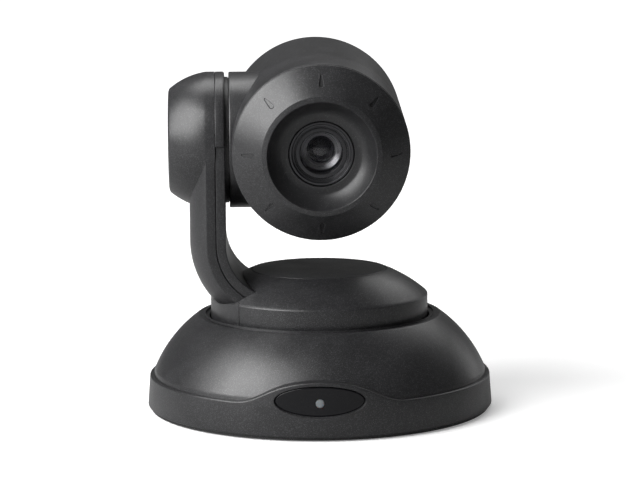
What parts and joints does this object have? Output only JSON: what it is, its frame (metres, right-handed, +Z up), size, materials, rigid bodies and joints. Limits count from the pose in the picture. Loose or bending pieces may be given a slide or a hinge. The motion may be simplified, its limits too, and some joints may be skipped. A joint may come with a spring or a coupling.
{
  "type": "pan tilt zoom camera",
  "caption": "Conferencing camera: a round base, a motorised turntable with one side arm, and a round head that tilts on it, with a zoom lens behind a funnel ring.",
  "frame": {"origin": "middle of the round base, on the surface that its rubber feet stand on", "axes": "+Z up along the pan axis; the lens faces -Y when pan is 0; the arm stands at -X and the tilt axis runs along X"},
  "size_m": [0.162, 0.162, 0.1712],
  "materials": {
    "charcoal_plastic": "charcoal moulded plastic with a fine metallic fleck, satin",
    "matte_black": "fine matte black moulded plastic",
    "dark_window": "polished dark infrared-passing acrylic",
    "light_lens": "milky diffuser, unlit",
    "black_anodised": "black anodised, turned, semi-gloss",
    "coated_glass": "coated optical glass",
    "aluminium": "cast and machined, plain",
    "steel": "zinc-plated sheet and bar",
    "rubber": "matte black rubber",
    "circuit_board": "green solder mask",
    "gear_plastic": "natural acetal",
    "motor_case": "pressed motor can",
    "chip_black": "moulded chip package",
    "socket_shell": "nickel-plated socket shell"
  },
  "bodies": {
    "base": {"base_skirt": "charcoal_plastic", "base_dome": "charcoal_plastic", "base_plate": "matte_black", "tripod_insert": "steel", "rubber_feet": "rubber", "base_screws": "steel", "ir_window": "dark_window", "status_light": "light_lens", "front_board": "circuit_board", "ir_receivers": "chip_black", "connector_bay": "matte_black", "power_jack": "chip_black", "usb_port": "socket_shell", "network_port": "socket_shell", "control_port": "socket_shell", "main_board": "circuit_board", "heat_sink": "aluminium", "pan_frame": "aluminium", "pan_bearing": "steel", "pan_motor": "motor_case"},
    "pan_drive": {"pan_pinion": "gear_plastic"},
    "turntable": {"pan_shaft": "aluminium", "pan_gear": "gear_plastic", "turntable_plate": "steel", "turntable_cover": "charcoal_plastic", "turntable_disc": "charcoal_plastic", "arm_outer_shell": "charcoal_plastic", "arm_inner_cover": "charcoal_plastic", "hub_ring": "charcoal_plastic", "hub_flange": "matte_black", "arm_frame": "steel", "arm_screws": "steel", "tilt_bearing": "steel", "tilt_motor": "motor_case"},
    "tilt_drive": {"tilt_pinion": "gear_plastic"},
    "head": {"tilt_shaft": "aluminium", "tilt_gear": "gear_plastic", "head_frame": "steel", "head_top_shell": "charcoal_plastic", "head_bottom_shell": "charcoal_plastic", "front_bezel": "charcoal_plastic", "lens_shroud": "matte_black", "lens_barrel": "black_anodised", "retaining_ring": "black_anodised", "front_lens": "coated_glass", "lens_housing": "chip_black", "guide_rods": "steel", "lens_motors": "motor_case", "image_sensor": "chip_black", "sensor_board": "circuit_board", "head_board": "circuit_board", "rear_cap": "charcoal_plastic", "rear_screws": "steel"},
    "zoom_group": {"zoom_carriage": "chip_black", "zoom_lens": "coated_glass"},
    "focus_group": {"focus_carriage": "chip_black", "focus_lens": "coated_glass"},
    "zoom_drive": {"zoom_screw": "steel"},
    "focus_drive": {"focus_screw": "steel"}
  },
  "joints": [
    {"name": "pan", "type": "hinge", "parent": "base", "child": "turntable", "pos_m": [0, 0, 0.029], "axis": [0, 0, 1], "range_deg": [-156.9, 153.1]},
    {"name": "tilt", "type": "hinge", "parent": "turntable", "child": "head", "pos_m": [-0.04148, -0.00138, 0.1264], "axis": [-0.9995, -0.0332, 0], "range_deg": [-26.64, 93.36]},
    {"name": "pan_motor_shaft", "type": "hinge", "parent": "base", "child": "pan_drive", "pos_m": [0.02548, -0.02548, 0.034], "axis": [0, 0, 1], "range_deg": [-613, 628]},
    {"name": "tilt_motor_shaft", "type": "hinge", "parent": "turntable", "child": "tilt_drive", "pos_m": [-0.05397, -0.00179, 0.11017], "axis": [-0.9995, -0.0332, 0], "range_deg": [-281, 80.5]},
    {"name": "zoom", "type": "slide", "parent": "head", "child": "zoom_group", "axis": [-0.0331, 0.9977, 0.0586], "range_m": [0, 0.012]},
    {"name": "focus", "type": "slide", "parent": "head", "child": "focus_group", "axis": [-0.0331, 0.9977, 0.0586], "range_m": [-0.0025, 0.005]},
    {"name": "zoom_screw_turn", "type": "hinge", "parent": "head", "child": "zoom_drive", "pos_m": [0.01197, 0.00105, 0.11522], "axis": [-0.0331, 0.9977, 0.0586], "range_deg": [-5, 1445]},
    {"name": "focus_screw_turn", "type": "hinge", "parent": "head", "child": "focus_drive", "pos_m": [-0.01197, -0.00115, 0.13918], "axis": [-0.0331, 0.9977, 0.0586], "range_deg": [-305, 605]}
  ],
  "couplings": [
    {"joint": "pan_motor_shaft", "follows": "pan", "ratio": -4},
    {"joint": "tilt_motor_shaft", "follows": "tilt", "ratio": -3},
    {"joint": "zoom_screw_turn", "follows": "zoom", "rad_per_m": 2094.4},
    {"joint": "focus_screw_turn", "follows": "focus", "rad_per_m": 2094.4}
  ]
}
